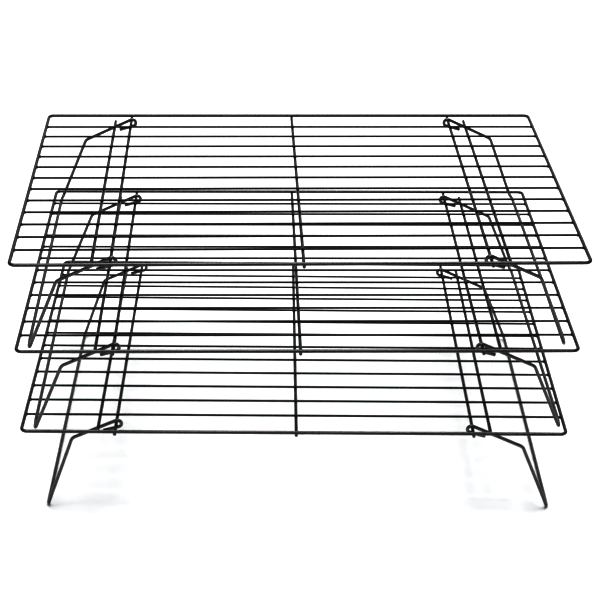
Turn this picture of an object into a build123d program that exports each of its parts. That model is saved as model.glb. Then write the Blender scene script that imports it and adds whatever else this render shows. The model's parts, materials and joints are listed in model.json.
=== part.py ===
"""Three-tier wire cooling rack: three identical steel wire racks stacked on their folding legs.

Each tier is a rounded rectangular frame of round wire that holds a row of thin grid wires.
Five cross wires lie under the grid: a centre brace, two that carry the legs as hinge pins,
and two short ones further out that stop the opened legs.  A leg is one bent wire: a hook at
each end closes round the hinge wire, and a straight rail between the two feet bears the load.

Millimetres, +Z up.  The origin is on the table top, under the middle of the bottom tier.
X runs along the long side and the grid wires, Y along the short side and the rails.
"""

import os
from math import asin, atan2, cos, degrees, radians, sin, sqrt, tan

from build123d import *

# --- driving dimensions -------------------------------------------------------------------

# wire diameters
FRAME_D = 2.6
LEG_D = 2.5
CROSS_D = 2.4
GRID_D = 1.7

# frame, measured on the centre line of its wire
FRAME_LENGTH = 400.0
FRAME_WIDTH = 258.0
FRAME_CORNER_R = 4.2

# grid wires
GRID_COUNT = 12
GRID_PITCH = 19.35
GRID_END_INSET = 0.6  # from the frame's centre line, so each end is welded into the side wire

# cross wires: distance from the middle along X, and half lengths along Y
CENTRE_X = 1.2  # the brace is welded slightly to the right of the middle
HINGE_X = 131.9
STOP_X = 144.8
CROSS_HALF = 129.5
STOP_HALF = 122.8

# welds: how far two wires are pressed into each other where they cross
FRAME_WELD = 0.15
GRID_WELD = 0.10

# legs
ARM_Y = 119.5  # plane of each hook and arm
FOOT_Y = 123.0  # the sides splay below the bend, so the rail is longer than the arms are apart
RAIL_X = 192.5
RAIL_DROP = 68.6  # from the frame's centre line down to the rail's
BOTTOM_RAIL_DROP = 71.4  # the bottom legs are bent a little longer
BEND_X = 169.9
BEND_R = 6.0
FOOT_R = 3.5
HOOK_R = 2.9  # centre line of the hook's loop
HOOK_OFFSET = 1.1  # loop centre, inboard of the hinge wire
STOP_CLEARANCE = 0.2
TAIL_PINCH = 9.0  # degrees by which the hook's tail closes on the arm
TAIL_LENGTH = 12.0

# how the hand-bent legs differ: each rail's inset from RAIL_X, and how far its hooks have slid
# along the hinge wire from the middle, towards the back
RAIL_INSET = {"bottom_left": 6.6, "bottom_right": -1.0, "middle_right": -1.8, "top_right": 2.6}
BEND_SHARE = 0.7  # how much of that inset lies in the bend
HOOK_SLIDE = {"bottom_left": 3.5, "middle_right": -2.0}
USUAL_SLIDE = -1.2
FOOT_SLIDE = -0.5

# stack
REST_GAP = 0.2  # between a rail and the grid wires that it stands on
TIERS = {"bottom": 0.0, "middle": 0.92, "top": 1.47}  # turn of each tier about Z, degrees

END_CHAMFER = 0.25

# --- worked-out dimensions, in a tier's own coordinates ----------------------------------------
# A tier's own origin is the middle of its frame, on the level of the frame's centre line.

CROSS_Z = -(FRAME_D / 2 + CROSS_D / 2 - FRAME_WELD)
GRID_Z = CROSS_Z + CROSS_D / 2 + GRID_D / 2 - GRID_WELD
GRID_TOP = GRID_Z + GRID_D / 2
FIRST_FRAME_Z = BOTTOM_RAIL_DROP + LEG_D / 2
TIER_PITCH = RAIL_DROP + LEG_D / 2 + REST_GAP + GRID_TOP

# The opened arm passes over the hinge wire and under the stop wire, and its slope follows.
ARM_OVER_HINGE = HOOK_R
ARM_UNDER_STOP = CROSS_D / 2 + LEG_D / 2 + STOP_CLEARANCE
ARM_SLOPE = degrees(asin((ARM_OVER_HINGE + ARM_UNDER_STOP) / (STOP_X - HINGE_X)))

os.makedirs("parts", exist_ok=True)


def export(builder, name):
    """Labels a finished piece and writes it as its own STEP file."""
    builder.part.label = name
    export_step(builder.part, f"parts/{name}.step")


def tier_plane(level, turn):
    """The plane of a tier's frame, turned by the small angle at which the tier was set down."""
    height = FIRST_FRAME_Z + level * TIER_PITCH
    return Plane(origin=(0, 0, height), x_dir=(cos(radians(turn)), sin(radians(turn)), 0), z_dir=(0, 0, 1))


def straight_wire(tier, start, end, diameter):
    """A straight length of round wire between two points of a tier, with its cut edges broken."""
    first = tier.from_local_coords(Vector(*start))
    last = tier.from_local_coords(Vector(*end))
    run = last - first
    with BuildPart() as wire:
        with BuildSketch(Plane(origin=first, z_dir=run)):
            Circle(diameter / 2)
        extrude(amount=run.length)
        chamfer(wire.edges().filter_by(GeomType.CIRCLE), END_CHAMFER)
    return wire


def grid_wire(tier, index):
    """One of the thin wires along X, welded between the two side wires of the frame."""
    y = (index - (GRID_COUNT - 1) / 2) * GRID_PITCH
    x = FRAME_LENGTH / 2 - GRID_END_INSET
    return straight_wire(tier, (-x, y, GRID_Z), (x, y, GRID_Z), GRID_D)


def cross_wire(tier, x, half_length):
    """A wire along Y under the grid wires."""
    return straight_wire(tier, (x, -half_length, CROSS_Z), (x, half_length, CROSS_Z), CROSS_D)


def frame_wire(tier):
    """The closed perimeter wire with its four rounded corners."""
    x = FRAME_LENGTH / 2
    y = FRAME_WIDTH / 2
    corners = [(x, -y), (x, y), (-x, y), (-x, -y)]
    with BuildPart() as frame:
        with BuildLine(tier) as loop:
            FilletPolyline(*corners, radius=FRAME_CORNER_R, close=True)
        with BuildSketch(Plane(origin=loop.wire() @ 0, z_dir=loop.wire() % 0)):
            Circle(FRAME_D / 2)
        sweep(path=loop.wire())
    return frame


def hook_points(side, y):
    """Tail end, tail start, loop middle and loop end of one hook, as points of the tier.

    They are laid out along the arm: s runs outward and down it, n stands square on it,
    and both are counted from the hinge wire's axis.
    """
    slope = radians(ARM_SLOPE)
    pinch = radians(TAIL_PINCH)

    def point(s, n):
        x = HINGE_X + s * cos(slope) + n * sin(slope)
        z = CROSS_Z - s * sin(slope) + n * cos(slope)
        return (side * x, y, z)

    tail_s = -HOOK_OFFSET + HOOK_R * sin(pinch)
    tail_n = -HOOK_R * cos(pinch)
    tail_end = point(tail_s + TAIL_LENGTH * cos(pinch), tail_n + TAIL_LENGTH * sin(pinch))
    tail_start = point(tail_s, tail_n)
    loop_middle = point(-HOOK_OFFSET - HOOK_R, 0)
    loop_end = point(-HOOK_OFFSET, HOOK_R)
    return tail_end, tail_start, loop_middle, loop_end


def leg_wire(tier, side, drop, inset, slide):
    """One leg: hook, arm, bend, foot, rail, and the same again back to the other hook."""
    slope = radians(ARM_SLOPE)
    arm_start_x = HINGE_X + HOOK_R * sin(slope)
    arm_start_z = CROSS_Z + HOOK_R * cos(slope)
    bend_x = BEND_X - inset * BEND_SHARE
    bend_z = arm_start_z - (bend_x - arm_start_x) * tan(slope)
    rail_x = RAIL_X - inset
    front = hook_points(side, slide - ARM_Y)
    back = hook_points(side, slide + ARM_Y)
    run = [
        front[3],
        (side * bend_x, slide - ARM_Y, bend_z),
        (side * rail_x, FOOT_SLIDE - FOOT_Y, -drop),
        (side * rail_x, FOOT_SLIDE + FOOT_Y, -drop),
        (side * bend_x, slide + ARM_Y, bend_z),
        back[3],
    ]
    with BuildPart() as leg:
        with BuildLine(tier) as path:
            Line(front[0], front[1])
            ThreePointArc(front[1], front[2], front[3])
            FilletPolyline(*run, radius=[BEND_R, FOOT_R, FOOT_R, BEND_R])
            ThreePointArc(back[3], back[2], back[1])
            Line(back[1], back[0])
        with BuildSketch(Plane(origin=path.wire() @ 0, z_dir=path.wire() % 0)):
            Circle(LEG_D / 2)
        sweep(path=path.wire())
        cut_ends = leg.faces().filter_by(GeomType.PLANE)
        chamfer(cut_ends.edges(), END_CHAMFER)
    return leg


for level, (tier_name, turn) in enumerate(TIERS.items()):
    plane = tier_plane(level, turn)
    drop = BOTTOM_RAIL_DROP if level == 0 else RAIL_DROP

    export(frame_wire(plane), f"{tier_name}_frame")
    export(cross_wire(plane, CENTRE_X, CROSS_HALF), f"{tier_name}_centre_cross_wire")
    for index in range(GRID_COUNT):
        export(grid_wire(plane, index), f"{tier_name}_grid_wire_{index + 1:02d}")

    for side_name, side in (("left", -1), ("right", 1)):
        export(cross_wire(plane, side * HINGE_X, CROSS_HALF), f"{tier_name}_{side_name}_hinge_wire")
        export(cross_wire(plane, side * STOP_X, STOP_HALF), f"{tier_name}_{side_name}_stop_wire")
        leg_name = f"{tier_name}_{side_name}"
        inset = RAIL_INSET.get(leg_name, 0.0)
        slide = HOOK_SLIDE.get(leg_name, USUAL_SLIDE)
        export(leg_wire(plane, side, drop, inset, slide), f"{leg_name}_leg")

# --- what the finished rack measures -----------------------------------------------------------

hinge_to_rail = sqrt((RAIL_X - HINGE_X) ** 2 + (RAIL_DROP + CROSS_Z) ** 2)
rail_below_hinge = degrees(atan2(RAIL_DROP + CROSS_Z, RAIL_X - HINGE_X))
print("tier pitch", round(TIER_PITCH, 2), "height", round(FIRST_FRAME_Z + 2 * TIER_PITCH + FRAME_D / 2, 2))
print("arm slope", round(ARM_SLOPE, 2), "hinge to rail", round(hinge_to_rail, 2))
print("rail below the hinge by", round(rail_below_hinge, 2), "degrees")
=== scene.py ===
"""Looks of the three-tier wire cooling rack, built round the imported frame.

Every wire of the CAD model is stood for by a finer one of the same size in the same place: a round
tube with smooth bends and dressed ends.  The welds at the crossings are added as small collars of
metal.  Where the CAD rails are straight, the upper tiers' feet dip a little beside the grid that
they stand on.
Metres throughout.  A tier's own coordinates have their origin in the middle of its frame wire.
"""
import json
from math import acos, asin, atan2, cos, pi, radians, sin, sqrt, tan

import bmesh
import bpy
from mathutils import Matrix, Vector, noise


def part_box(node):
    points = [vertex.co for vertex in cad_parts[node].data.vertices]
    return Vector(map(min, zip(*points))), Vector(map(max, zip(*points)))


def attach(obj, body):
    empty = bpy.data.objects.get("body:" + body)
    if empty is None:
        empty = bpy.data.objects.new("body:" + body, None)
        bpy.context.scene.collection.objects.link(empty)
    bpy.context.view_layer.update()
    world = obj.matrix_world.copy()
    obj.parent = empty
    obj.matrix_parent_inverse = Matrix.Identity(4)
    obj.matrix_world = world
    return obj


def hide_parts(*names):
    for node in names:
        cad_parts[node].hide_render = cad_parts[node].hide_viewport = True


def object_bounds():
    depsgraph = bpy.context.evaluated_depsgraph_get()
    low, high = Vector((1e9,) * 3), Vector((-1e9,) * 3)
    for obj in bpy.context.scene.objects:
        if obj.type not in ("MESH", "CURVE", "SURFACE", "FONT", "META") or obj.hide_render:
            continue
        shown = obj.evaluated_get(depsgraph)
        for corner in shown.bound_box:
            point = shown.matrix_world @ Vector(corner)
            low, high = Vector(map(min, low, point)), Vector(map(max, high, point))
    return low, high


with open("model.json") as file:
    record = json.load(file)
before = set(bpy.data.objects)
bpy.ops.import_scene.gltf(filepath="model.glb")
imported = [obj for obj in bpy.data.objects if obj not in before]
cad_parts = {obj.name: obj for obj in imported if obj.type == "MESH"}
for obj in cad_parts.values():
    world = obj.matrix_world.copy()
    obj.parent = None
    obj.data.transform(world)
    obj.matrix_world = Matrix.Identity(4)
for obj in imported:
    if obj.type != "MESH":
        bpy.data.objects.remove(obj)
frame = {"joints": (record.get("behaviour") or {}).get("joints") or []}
CAD_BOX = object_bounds()
JOINTS = {joint["name"]: joint for joint in frame["joints"]}
TIERS = ("bottom", "middle", "top")
SIDES = {"left": -1, "right": 1}
MM = 0.001

# --- dimensions of the wires and bends ---

FRAME_R = 1.3 * MM
LEG_R = 1.25 * MM
CROSS_R = 1.2 * MM
GRID_R = 0.85 * MM
FRAME_CORNER_R = 4.2 * MM
GRID_COUNT = 12
GRID_PITCH = 19.35 * MM
GRID_END_INSET = 0.6 * MM
CENTRE_X = 1.2 * MM
HINGE_X = 131.9 * MM
STOP_X = 144.8 * MM
CROSS_HALF = 129.5 * MM
STOP_HALF = 122.8 * MM
FRAME_WELD = 0.15 * MM
GRID_WELD = 0.10 * MM
ARM_Y = 119.5 * MM
FOOT_Y = 123 * MM
RAIL_X = 192.5 * MM
RAIL_DROP = {"bottom": 71.4 * MM, "middle": 68.6 * MM, "top": 68.6 * MM}
BEND_X = 169.9 * MM
BEND_R = 6 * MM
FOOT_R = 3.5 * MM
HOOK_R = 2.9 * MM
HOOK_OFFSET = 1.1 * MM
STOP_CLEARANCE = 0.2 * MM
TAIL_PINCH = radians(9)
TAIL_LENGTH = 12 * MM

# how far a rail's ends dip beside the last grid wire below, over what length, and in what bend
FOOT_DIP = {"bottom": 0, "middle": 2.6 * MM, "top": 2.6 * MM}
DIP_RUN = 11 * MM
DIP_R = 16 * MM

# how the hand-bent legs differ: each rail's inset from RAIL_X, how much of it lies in the bend,
# and how far the hooks and feet have slid towards the back
RAIL_INSET = {
    "bottom_left": 6.6 * MM,
    "bottom_right": -1 * MM,
    "middle_right": -1.8 * MM,
    "top_right": 2.6 * MM,
}
BEND_SHARE = 0.7
HOOK_SLIDE = {"bottom_left": 3.5 * MM, "middle_right": -2 * MM}
USUAL_SLIDE = -1.2 * MM
FOOT_SLIDE = -0.5 * MM

CROSS_Z = -(FRAME_R + CROSS_R - FRAME_WELD)
GRID_Z = CROSS_Z + CROSS_R + GRID_R - GRID_WELD
ARM_SLOPE = asin((HOOK_R + CROSS_R + LEG_R + STOP_CLEARANCE) / (STOP_X - HINGE_X))

# the wires under the grid: each one's place along X and half length
CROSS_WIRES = {
    "centre_cross": (CENTRE_X, CROSS_HALF),
    "left_hinge": (-HINGE_X, CROSS_HALF),
    "left_stop": (-STOP_X, STOP_HALF),
    "right_hinge": (HINGE_X, CROSS_HALF),
    "right_stop": (STOP_X, STOP_HALF),
}

# --- detail of the meshes ---

TUBE_SIDES = {"frame": 28, "cross": 24, "grid": 18, "leg": 26}
SHARP_ANGLE = radians(50)
ARC_STEP = radians(6)
STRAIGHT_STEP = 9 * MM
CROSS_STEP = 14.4 * MM
HOOK_STEPS = 30
GRID_WAVER = 0.12 * MM  # how far a thin wire strays from straight between its welds
WAVER_RATE = 14  # of its noise, a metre
WAVER_SHIFT = 7.3  # from one wire's noise to the next one's, so that no two are alike

# a cut end's rings from its face inward: depth as a share of END_BREAK, size and wear
END_BREAK = 0.3 * MM  # how far the edge is rounded over
END_RINGS = [(0.0, 0.62, 1.0), (0.12, 0.82, 1.0), (0.45, 0.95, 0.6), (1.0, 1.0, 0.25)]
END_HOLLOW = 0.10  # of the sheared face, in radii

# a weld collar's rings: level between the lower wire and the upper one, and width
COLLAR_RINGS = [(0.0, 1.0), (0.18, 0.84), (0.42, 0.75), (0.62, 0.76), (0.84, 0.86), (1.0, 1.0)]
COLLAR_SIDES = 20
COLLAR_SINK = 0.03 * MM  # of its rims into the wires
COLLAR_LENGTH = 1.35  # at the most, in radii of the upper wire
COLLAR_SPREAD = 1.02
COLLAR_WEAR = 0.15
GRID_REACH = 0.86  # the collar's size as a share of the wires', under a grid wire
FRAME_REACH = 0.62  # and under the frame

# a weld flare's rings: distance from the thick wire's side and size, both in radii of the thin wire
FLARE_RINGS = [(-0.35, 1.50), (0.10, 1.42), (0.35, 1.24), (0.75, 1.10), (1.3, 1.02), (1.8, 0.985)]
FLARE_SIDES = 16
FLARE_WEAR = 0.1

# a leg's wear: on what lies this near the hinge wire's side, and on the underside of its rail
HOOK_RUB = 0.75
HOOK_RUB_GAP = 0.9 * MM
RAIL_RUB = 0.62
RAIL_RUB_RISE = 0.3 * MM  # what is higher than this over the rail's level isn't rail
RAIL_RUB_DEPTH = 0.75  # below the wire's centre line, in radii

# --- paths ---


def arc(centre, start, end, angle):
    """Points on the arc about centre from start to end, both counted from the centre."""
    steps = max(2, round(angle / ARC_STEP))
    first = start.normalized()
    square = (end - first * end.dot(first)).normalized()
    radius = start.length
    turns = [angle * i / steps for i in range(steps + 1)]
    return [centre + (first * cos(t) + square * sin(t)) * radius for t in turns]


def rounded(corners, radii, closed=False):
    """The line through the corners with an arc at each one, as points."""
    count = len(corners)
    path = [] if closed else [corners[0]]
    inner = range(count) if closed else range(1, count - 1)
    for i, radius in zip(inner, radii):
        corner = corners[i]
        back = (corners[i - 1] - corner).normalized()
        ahead = (corners[(i + 1) % count] - corner).normalized()
        half = acos(max(-1, min(1, back.dot(ahead)))) / 2
        centre = corner + (back + ahead).normalized() * radius / sin(half)
        reach = radius / tan(half)
        start = corner + back * reach - centre
        end = corner + ahead * reach - centre
        path += arc(centre, start, end, pi - 2 * half)
    return path if closed else path + [corners[-1]]


def divided(path, step, closed=False):
    """The same line with points added to its long runs, about a step apart."""
    out = []
    pairs = zip(path, path[1:] + path[:1] if closed else path[1:])
    for a, b in pairs:
        steps = max(1, round((b - a).length / step))
        out += [a.lerp(b, i / steps) for i in range(steps)]
    return out if closed else out + [path[-1]]


def grid_y(index):
    """A grid wire's place along Y."""
    return (index - (GRID_COUNT - 1) / 2) * GRID_PITCH


def grid_path(index, half_length):
    """A thin wire's centre line, with the slight waver that such wire keeps from its coil."""
    y = grid_y(index)
    end = half_length - GRID_END_INSET
    path = divided([Vector((-end, y, GRID_Z)), Vector((end, y, GRID_Z))], STRAIGHT_STEP)
    for p in path[1:-1]:
        seed = Vector((p.x * WAVER_RATE, index * WAVER_SHIFT, 0.5))
        p.y += GRID_WAVER * noise.noise(seed)
    return path


def cross_path(x, half):
    """A cross wire's centre line."""
    return divided([Vector((x, -half, CROSS_Z)), Vector((x, half, CROSS_Z))], CROSS_STEP)


def hook_path(side, y):
    """One hook's centre line: its tail and the loop round the hinge wire."""

    def point(s, n):
        """s runs from the hinge wire's axis outward and down the arm, n square on it."""
        x = HINGE_X + s * cos(ARM_SLOPE) + n * sin(ARM_SLOPE)
        z = CROSS_Z - s * sin(ARM_SLOPE) + n * cos(ARM_SLOPE)
        return Vector((side * x, y, z))

    tail_s = HOOK_R * sin(TAIL_PINCH) - HOOK_OFFSET + TAIL_LENGTH * cos(TAIL_PINCH)
    tail_n = TAIL_LENGTH * sin(TAIL_PINCH) - HOOK_R * cos(TAIL_PINCH)
    first = TAIL_PINCH - pi / 2
    sweep = pi + TAIL_PINCH
    turns = [first - sweep * i / HOOK_STEPS for i in range(HOOK_STEPS + 1)]
    loop = [point(HOOK_R * cos(t) - HOOK_OFFSET, HOOK_R * sin(t)) for t in turns]
    return [point(tail_s, tail_n)] + loop


def leg_path(side, drop, dip, inset, slide):
    """One leg's centre line: hook, arm, bend, foot, rail, and back to the other hook."""
    arm_x = HINGE_X + HOOK_R * sin(ARM_SLOPE)
    arm_z = CROSS_Z + HOOK_R * cos(ARM_SLOPE)
    bend_x = BEND_X - inset * BEND_SHARE
    bend_z = arm_z - (bend_x - arm_x) * tan(ARM_SLOPE)
    rail_x = side * (RAIL_X - inset)
    front = hook_path(side, slide - ARM_Y)
    back = hook_path(side, slide + ARM_Y)
    front_foot = FOOT_SLIDE - FOOT_Y
    back_foot = FOOT_SLIDE + FOOT_Y

    rail = [Vector((rail_x, front_foot, -drop - dip)), Vector((rail_x, back_foot, -drop - dip))]
    rail_radii = [FOOT_R, FOOT_R]
    if dip:
        eased = [Vector((rail_x, front_foot + DIP_RUN, -drop)), Vector((rail_x, back_foot - DIP_RUN, -drop))]
        rail = rail[:1] + eased + rail[1:]
        rail_radii = [FOOT_R, DIP_R, DIP_R, FOOT_R]
    front_bend = Vector((side * bend_x, slide - ARM_Y, bend_z))
    back_bend = Vector((side * bend_x, slide + ARM_Y, bend_z))
    corners = [front[-1], front_bend] + rail + [back_bend, back[-1]]
    run = rounded(corners, [BEND_R] + rail_radii + [BEND_R])
    return divided(front[:-1] + run + back[-2::-1], STRAIGHT_STEP)


def leg_wear(side, drop):
    """Where a leg rubs: inside its hooks, and under its rail."""
    pin = Vector((side * HINGE_X, 0, CROSS_Z))

    def rub(spot, centre):
        off = Vector((spot.x - pin.x, 0, spot.z - pin.z))
        if off.length < CROSS_R + HOOK_RUB_GAP:
            return HOOK_RUB
        if centre.z < RAIL_RUB_RISE - drop and spot.z < centre.z - RAIL_RUB_DEPTH * LEG_R:
            return RAIL_RUB
        return 0.0

    return rub


# --- meshes ---


def new_mesh():
    """An empty mesh, each of whose points will carry how worn the coating is there."""
    bm = bmesh.new()
    bm.verts.layers.float.new("wear")
    return bm


def directions_along(path, closed):
    """At each point: the run's direction and two directions square to it that don't twist."""
    count = len(path)
    runs = []
    for i in range(count):
        before = path[i - 1] if closed or i else path[0]
        after = path[(i + 1) % count] if closed or i < count - 1 else path[-1]
        runs.append((after - before).normalized())
    side = runs[0].orthogonal().normalized()
    out = []
    for run in runs:
        side = (side - run * side.dot(run)).normalized()
        out.append((run, side, run.cross(side)))
    return out


def ring(bm, centre, side, up, radius, sides):
    """One ring of vertices about a point."""
    turns = [2 * pi * k / sides for k in range(sides)]
    return [bm.verts.new(centre + (side * cos(t) + up * sin(t)) * radius) for t in turns]


def skin(bm, rings, closed=False):
    """Quads between each ring and the next."""
    pairs = zip(rings, rings[1:] + rings[:1]) if closed else zip(rings, rings[1:])
    for a, b in pairs:
        for k in range(len(a)):
            n = (k + 1) % len(a)
            bm.faces.new((a[k], a[n], b[n], b[k]))


def sheared_face(bm, verts, centre, inward, radius):
    """A cut end's face, which is slightly hollow, as a cropped wire's is."""
    hub = bm.verts.new(centre + inward * radius * END_HOLLOW)
    hub[bm.verts.layers.float["wear"]] = 1.0
    for k in range(len(verts)):
        n = (k + 1) % len(verts)
        bm.faces.new((hub, verts[k], verts[n]))


def tube(bm, path, radius, sides, closed=False, wear=None):
    """A round wire along the path.  An open one gets sheared, rounded-over ends."""
    worn = bm.verts.layers.float["wear"]
    directions = directions_along(path, closed)
    stations = [(point, radius, 0.0) for point in path]
    if not closed:
        head, tail = path[0], path[-1]
        head_in, tail_in = directions[0][0], -directions[-1][0]
        first = [(head + head_in * END_BREAK * depth, radius * size, rub) for depth, size, rub in END_RINGS]
        last = [(tail + tail_in * END_BREAK * depth, radius * size, rub) for depth, size, rub in END_RINGS]
        stations = first + stations[1:-1] + last[::-1]
        extra = len(END_RINGS) - 1
        directions = directions[:1] * extra + directions + directions[-1:] * extra
    rings = []
    for (centre, size, edge), (_, side, up) in zip(stations, directions):
        verts = ring(bm, centre, side, up, size, sides)
        for v in verts:
            v[worn] = max(edge, wear(v.co, centre) if wear else 0.0)
        rings.append(verts)
    skin(bm, rings, closed)
    if not closed:
        sheared_face(bm, rings[0], head, head_in, radius)
        sheared_face(bm, rings[-1], tail, tail_in, radius)


def weld_collar(bm, x, y, upper, height, reach):
    """The collar of metal where a wire along X is welded onto a cross wire below it.

    The upper wire's radius is given, and the height of its axis over the cross wire's.
    """
    worn = bm.verts.layers.float["wear"]
    centre = Vector((x, y, CROSS_Z))
    rings = []
    for level, width in COLLAR_RINGS:
        sink = COLLAR_SINK * {0.0: -1, 1.0: 1}.get(level, 0)
        verts = []
        for k in range(COLLAR_SIDES):
            t = 2 * pi * k / COLLAR_SIDES
            along = min(CROSS_R, upper * COLLAR_LENGTH) * reach * width * cos(t)
            across = upper * reach * COLLAR_SPREAD * width * sin(t)
            low = sqrt(max(0.0, CROSS_R**2 - along**2))
            high = height - sqrt(max(0.0, upper**2 - across**2))
            v = bm.verts.new(centre + Vector((along, across, low + (high - low) * level + sink)))
            v[worn] = COLLAR_WEAR
            verts.append(v)
        rings.append(verts)
    skin(bm, rings)


def weld_flare(bm, point, inward, radius, wall):
    """The flare of metal where a thin wire's end runs into the side of a thick one."""
    worn = bm.verts.layers.float["wear"]
    side = Vector((0, 0, 1))
    up = inward.cross(side)
    rings = []
    for run, swell in FLARE_RINGS:
        centre = point + inward * (wall + run * radius)
        verts = ring(bm, centre, side, up, radius * swell, FLARE_SIDES)
        for v in verts:
            v[worn] = FLARE_WEAR
        rings.append(verts)
    skin(bm, rings)


def piece(bm, name, place, body, slot, *nodes):
    """Finishes a mesh that was built in a tier's own coordinates and puts it in the scene."""
    bmesh.ops.transform(bm, matrix=place, verts=bm.verts)
    bmesh.ops.recalc_face_normals(bm, faces=bm.faces)
    mesh = bpy.data.meshes.new(name)
    bm.to_mesh(mesh)
    bm.free()
    mesh.shade_smooth()
    mesh.set_sharp_from_angle(angle=SHARP_ANGLE)
    mesh.materials.append(MATERIALS[slot])
    made = bpy.data.objects.new(name, mesh)
    bpy.context.scene.collection.objects.link(made)
    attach(made, body)
    if nodes:
        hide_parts(*nodes)


# --- material ---


def coating(name, dark, light, smooth, rough, peel, specular):
    """Satin black coating on steel wire.  Its textures use object coordinates, which are metres."""
    material = bpy.data.materials.new(name)
    material.use_nodes = True
    tree = material.node_tree
    tree.nodes.clear()

    def node(kind, **values):
        """A new node.  A value goes to the input of that name, or else to the setting."""
        made = tree.nodes.new(kind)
        for key, value in values.items():
            if key in made.inputs:
                made.inputs[key].default_value = value
            else:
                setattr(made, key, value)
        return made

    def link(a, out, b, into):
        tree.links.new(a.outputs[out], b.inputs[into])

    coords = node("ShaderNodeTexCoord")

    def cloud(scale, detail, roughness=0.5):
        """Noise of so many cycles a metre."""
        made = node("ShaderNodeTexNoise", Scale=scale, Detail=detail, Roughness=roughness)
        link(coords, "Object", made, "Vector")
        return made

    def remap(source, out, low, high, to_low, to_high):
        """The source's values from low to high, spread over another range."""
        made = node("ShaderNodeMapRange")
        made.inputs["From Min"].default_value = low
        made.inputs["From Max"].default_value = high
        made.inputs["To Min"].default_value = to_low
        made.inputs["To Max"].default_value = to_high
        link(source, out, made, "Value")
        return made

    # colour: a slow drift in the coating's thickness, and fine mottling
    shade = node("ShaderNodeValToRGB")
    thin, thick = shade.color_ramp.elements
    thin.position, thin.color = 0.32, (dark, dark, dark, 1)
    thick.position, thick.color = 0.72, (light, light, light, 1)
    link(cloud(38.0, 3.0), "Fac", shade, "Fac")
    fine = remap(cloud(1400.0, 4.0, 0.6), "Fac", 0.35, 0.70, 0.80, 1.25)
    mottled = node("ShaderNodeVectorMath", operation="SCALE")
    link(shade, "Color", mottled, 0)
    link(fine, "Result", mottled, "Scale")

    # wear: the coating thins to grey at cut ends and where one wire rubs another
    worn = node("ShaderNodeAttribute", attribute_name="wear")
    edge = node("ShaderNodeMath", operation="MULTIPLY")
    link(worn, "Fac", edge, 0)
    link(cloud(900.0, 3.0, 0.65), "Fac", edge, 1)
    bare = remap(edge, "Value", 0.34, 0.62, 0.0, 0.75)
    mix = node("ShaderNodeMix", data_type="RGBA")
    link(bare, "Result", mix, "Factor")
    link(mottled, "Vector", mix, "A")
    mix.inputs["B"].default_value = (0.070, 0.068, 0.066, 1)

    # sheen: patches that are a little smoother or rougher
    gloss = remap(cloud(160.0, 4.0, 0.55), "Fac", 0.30, 0.70, smooth, rough)

    # surface: the coating's orange peel, with small pits
    pits = node("ShaderNodeTexVoronoi", feature="F1", Scale=peel * 0.6)
    link(coords, "Object", pits, "Vector")
    surface = node("ShaderNodeMath", operation="MULTIPLY_ADD")
    surface.inputs[1].default_value = 0.35
    link(pits, "Distance", surface, 0)
    link(cloud(peel, 3.0, 0.5), "Fac", surface, 2)
    bump = node("ShaderNodeBump", Strength=0.30, Distance=0.00006)
    link(surface, "Value", bump, "Height")

    shader = node("ShaderNodeBsdfPrincipled")
    shader.inputs["Specular IOR Level"].default_value = specular
    shader.inputs["IOR"].default_value = 1.5
    link(mix, "Result", shader, "Base Color")
    link(gloss, "Result", shader, "Roughness")
    link(bump, "Normal", shader, "Normal")
    out = node("ShaderNodeOutputMaterial")
    link(shader, "BSDF", out, "Surface")
    return material


MATERIALS = {
    "frame_wire": coating("frame_coating", 0.011, 0.024, smooth=0.20, rough=0.30, peel=1500, specular=0.68),
    "cross_wire": coating("cross_coating", 0.010, 0.022, smooth=0.24, rough=0.34, peel=1600, specular=0.50),
    "grid_wire": coating("grid_coating", 0.006, 0.013, smooth=0.28, rough=0.42, peel=2200, specular=0.22),
    # the legs carry the same black coating as the other wires, but their base colour is set lighter to stand
    # in for highlight: painted highlight
    "leg_wire": coating("leg_coating_painted_highlight", 0.024, 0.048, smooth=0.24, rough=0.36, peel=1500, specular=0.95),
}

# --- the wires of one tier ---


def frame_size(tier, turn):
    """Half length and half width of a tier's frame wire on its centre line, from the CAD box."""
    low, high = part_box(f"{tier}_frame")
    c, s = cos(turn), sin(turn)
    # the box of a turned rectangle, its corners rounded; the rounding's small share is added back
    trim = FRAME_CORNER_R * (c + s - 1)
    across_x = (high.x - low.x) / 2 - FRAME_R + trim
    across_y = (high.y - low.y) / 2 - FRAME_R + trim
    half_x = (across_x * c - across_y * s) / (c * c - s * s)
    half_y = (across_y * c - across_x * s) / (c * c - s * s)
    return half_x, half_y


def build_frame(tier, place, half_x, half_y):
    """The closed wire round the tier."""
    bm = new_mesh()
    corners = [Vector((sx * half_x, sy * half_y, 0)) for sx, sy in ((1, -1), (1, 1), (-1, 1), (-1, -1))]
    loop = divided(rounded(corners, [FRAME_CORNER_R] * 4, closed=True), STRAIGHT_STEP, closed=True)
    tube(bm, loop, FRAME_R, TUBE_SIDES["frame"], closed=True)
    piece(bm, f"{tier}_frame_coated", place, f"{tier}_rack", "frame_wire", f"{tier}_frame")


def build_cross_wires(tier, place):
    """The five wires under the grid."""
    for name, (x, half) in CROSS_WIRES.items():
        bm = new_mesh()
        tube(bm, cross_path(x, half), CROSS_R, TUBE_SIDES["cross"])
        piece(bm, f"{tier}_{name}_coated", place, f"{tier}_rack", "cross_wire", f"{tier}_{name}_wire")


def build_grid(tier, place, half_length):
    """The thin wires that the baking lies on."""
    for index in range(GRID_COUNT):
        bm = new_mesh()
        tube(bm, grid_path(index, half_length), GRID_R, TUBE_SIDES["grid"])
        number = f"{index + 1:02d}"
        node = f"{tier}_grid_wire_{number}"
        piece(bm, f"{tier}_grid_coated_{number}", place, f"{tier}_rack", "grid_wire", node)


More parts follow.
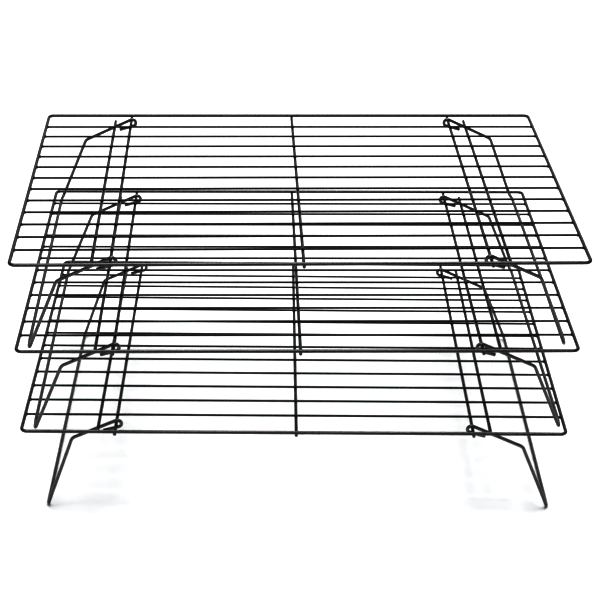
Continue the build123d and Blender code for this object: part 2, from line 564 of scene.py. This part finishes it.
def build_welds(tier, place, half_x, half_y):
    """A collar at every crossing, and a flare at every end of a grid wire."""
    bm = new_mesh()
    for x, half in CROSS_WIRES.values():
        for index in range(GRID_COUNT):
            weld_collar(bm, x, grid_y(index), GRID_R, GRID_Z - CROSS_Z, GRID_REACH)
        if half > half_y:
            for y in (-half_y, half_y):
                weld_collar(bm, x, y, FRAME_R, -CROSS_Z, FRAME_REACH)
    for index in range(GRID_COUNT):
        for side in SIDES.values():
            end = Vector((side * half_x, grid_y(index), GRID_Z))
            weld_flare(bm, end, Vector((-side, 0, 0)), GRID_R, FRAME_R)
    piece(bm, f"{tier}_welds", place, f"{tier}_rack", "cross_wire")


def build_legs(tier, place):
    """The two folding legs, each on its own body."""
    drop = RAIL_DROP[tier]
    for side_name, side in SIDES.items():
        name = f"{tier}_{side_name}"
        inset = RAIL_INSET.get(name, 0)
        slide = HOOK_SLIDE.get(name, USUAL_SLIDE)
        bm = new_mesh()
        path = leg_path(side, drop, FOOT_DIP[tier], inset, slide)
        tube(bm, path, LEG_R, TUBE_SIDES["leg"], wear=leg_wear(side, drop))
        piece(bm, f"{name}_leg_coated", place, f"{name}_leg", "leg_wire", f"{name}_leg")


def build_tier(tier, half_length):
    """All wires of one tier, turned as its joints are and as high as its CAD frame."""
    axis = JOINTS[f"{tier}_right_leg_fold"]["axis"]
    turn = atan2(-axis[0], axis[1])
    low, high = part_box(f"{tier}_frame")
    place = Matrix.Translation((0, 0, (low.z + high.z) / 2)) @ Matrix.Rotation(turn, 4, "Z")
    half_x, half_y = frame_size(tier, turn)
    build_frame(tier, place, half_x, half_y)
    build_cross_wires(tier, place)
    build_grid(tier, place, half_length)
    build_welds(tier, place, half_x, half_y)
    build_legs(tier, place)


# the bottom tier isn't turned, so its CAD box gives the half length of every tier exactly
HALF_LENGTH = frame_size("bottom", 0)[0]
for tier in TIERS:
    build_tier(tier, HALF_LENGTH)

# --- floor, light and camera ---

FLOOR_RADIUS = 30
FLOOR_WHITE = 0.90
FLOOR_ROUGHNESS = 0.9


def build_floor():
    """A white disc under the rack, wide enough to fill the view."""
    material = bpy.data.materials.new("floor_white")
    material.use_nodes = True
    shader = material.node_tree.nodes["Principled BSDF"]
    shader.inputs["Base Color"].default_value = (FLOOR_WHITE, FLOOR_WHITE, FLOOR_WHITE, 1)
    shader.inputs["Roughness"].default_value = FLOOR_ROUGHNESS
    bm = bmesh.new()
    bmesh.ops.create_circle(bm, cap_ends=True, radius=FLOOR_RADIUS, segments=96)
    mesh = bpy.data.meshes.new("floor")
    bm.to_mesh(mesh)
    bm.free()
    mesh.materials.append(material)
    floor = bpy.data.objects.new("floor", mesh)
    floor.location.z = CAD_BOX[0].z
    bpy.context.scene.collection.objects.link(floor)


def sun(name, azimuth, elevation, strength, spread):
    """Soft light from far off.  Azimuth 0 comes from the front, and 90 from the right."""
    light = bpy.data.lights.new(name, "SUN")
    light.energy = strength
    light.angle = radians(spread)
    made = bpy.data.objects.new(name, light)
    a, e = radians(azimuth), radians(elevation)
    towards = Vector((-sin(a) * cos(e), cos(a) * cos(e), -sin(e)))
    made.rotation_euler = towards.to_track_quat("-Z", "Y").to_euler()
    bpy.context.scene.collection.objects.link(made)


def build_world():
    """A white background for the camera, and a dimmer one that lights the scene."""
    world = bpy.data.worlds.new("studio")
    world.use_nodes = True
    tree = world.node_tree
    tree.nodes.clear()

    def background(colour, strength):
        made = tree.nodes.new("ShaderNodeBackground")
        made.inputs["Color"].default_value = colour
        made.inputs["Strength"].default_value = strength
        return made

    path_kind = tree.nodes.new("ShaderNodeLightPath")
    seen = background((1, 1, 1, 1), 1.05)
    cast = background((0.93, 0.96, 1.0, 1), 0.24)
    choose = tree.nodes.new("ShaderNodeMixShader")
    out = tree.nodes.new("ShaderNodeOutputWorld")
    tree.links.new(path_kind.outputs["Is Camera Ray"], choose.inputs["Fac"])
    tree.links.new(cast.outputs["Background"], choose.inputs[1])
    tree.links.new(seen.outputs["Background"], choose.inputs[2])
    tree.links.new(choose.outputs["Shader"], out.inputs["Surface"])
    bpy.context.scene.world = world


def build_camera(at, down, turn, roll, lens):
    """A camera that looks along +Y, turned to the right and tilted down, and rolled a little."""
    forward = Vector((sin(turn) * cos(down), cos(turn) * cos(down), -sin(down)))
    right = Vector((cos(turn), -sin(turn), 0))
    up = right.cross(forward)
    rolled_right = right * cos(roll) + up * sin(roll)
    rolled_up = up * cos(roll) - right * sin(roll)
    data = bpy.data.cameras.new("camera")
    data.lens = lens
    data.sensor_width = 36
    data.clip_start = 0.01
    data.clip_end = 100
    camera = bpy.data.objects.new("camera", data)
    axes = Matrix((rolled_right, rolled_up, -forward)).transposed()
    camera.matrix_world = Matrix.Translation(at) @ axes.to_4x4()
    bpy.context.scene.collection.objects.link(camera)
    bpy.context.scene.camera = camera


build_floor()
sun("key", 180, 82, strength=4.3, spread=36)
sun("front", -8, 34, strength=0.4, spread=30)
sun("back", 172, 34, strength=0.5, spread=40)
build_world()
# the gamma gives thin dark wires on white the weight that they have in a sharpened picture
bpy.context.scene.view_settings.view_transform = "Standard"
bpy.context.scene.view_settings.gamma = 0.52
build_camera(
    at=Vector((-0.01793, -1.01566, 0.69943)),
    down=radians(30.11),
    turn=radians(1.29),
    roll=radians(1.08),
    lens=88.53,
)
